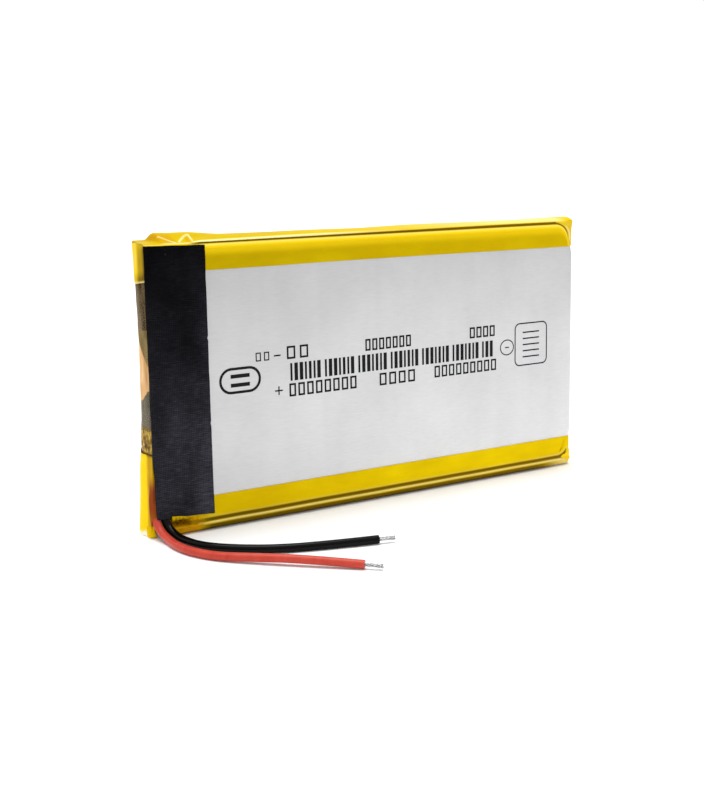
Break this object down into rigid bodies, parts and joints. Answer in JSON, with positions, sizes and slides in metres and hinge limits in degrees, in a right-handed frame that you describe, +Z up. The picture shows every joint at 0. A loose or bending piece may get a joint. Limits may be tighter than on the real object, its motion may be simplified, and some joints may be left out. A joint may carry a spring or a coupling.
{
  "type": "lithium-polymer pouch cell",
  "caption": "Flat rectangular pouch battery cell in aluminium laminate film, with taped side seals, a protection board under the end tape and red and black flying leads with tinned ends.",
  "frame": {"origin": "centre of the bounding box of the cell without its leads, at the bottom long edge that the cell stands on", "axes": "+X along the length from the terminal end to the tail end, +Y through the thickness from the printed front face to the rear face, +Z up along the width"},
  "size_m": [0.1114, 0.054, 0.06],
  "materials": {
    "laminate_film": "matte nylon-faced aluminium laminate, fine brushed grain",
    "anode_coating": "calendered graphite coating on copper foil",
    "cathode_coating": "calendered metal-oxide coating on aluminium foil",
    "separator_film": "white microporous polyolefin film",
    "bare_aluminium": "bare rolled foil",
    "bare_copper": "bare rolled copper foil",
    "nickel": "rolled nickel strip",
    "binding_tape": "thin polyester tape",
    "sealant_film": "milky polypropylene sealing film",
    "solder_mask": "black solder mask on glass-epoxy",
    "chip_epoxy": "moulded epoxy with tinned legs",
    "chip_ceramic": "tan ceramic body",
    "resistor_ceramic": "black glazed ceramic body",
    "tin": "bright tin",
    "dark_fabric_patch": "dark adhesive insulation cloth with pale edges",
    "insulation_paper": "beige insulating paper",
    "grey_patch": "grey insulating film",
    "red_insulation": "soft red wire insulation",
    "black_insulation": "soft black wire insulation",
    "tinned_strands": "twisted tinned copper strands",
    "yellow_tape": "glossy yellow polyester tape",
    "amber_film": "transparent amber polyimide film",
    "black_tape": "matte black acetate cloth tape"
  },
  "bodies": {
    "root": {"pouch_front_half": "laminate_film", "pouch_rear_half": "laminate_film", "anode_sheets": "anode_coating", "cathode_sheets": "cathode_coating", "separator_web": "separator_film", "cathode_foil_tails": "bare_aluminium", "anode_foil_tails": "bare_copper", "stack_binding_tapes": "binding_tape", "positive_tab": "bare_aluminium", "negative_tab": "nickel", "positive_tab_sealant": "sealant_film", "negative_tab_sealant": "sealant_film", "protection_board": "solder_mask", "board_positive_strip": "nickel", "board_negative_strip": "nickel", "protection_chip": "chip_epoxy", "switch_chips": "chip_epoxy", "resistors": "resistor_ceramic", "capacitors": "chip_ceramic", "chip_end_caps": "tin", "lead_pads": "tin", "lead_solder_joints": "tin", "board_dark_patch": "dark_fabric_patch", "board_paper_strip": "insulation_paper", "board_lower_patch": "grey_patch", "red_lead": "red_insulation", "black_lead": "black_insulation", "red_lead_bare_end": "tinned_strands", "black_lead_bare_end": "tinned_strands", "side_tape_upper": "yellow_tape", "side_tape_lower": "yellow_tape", "amber_end_film": "amber_film", "black_end_tape": "black_tape"}
  },
  "joints": []
}
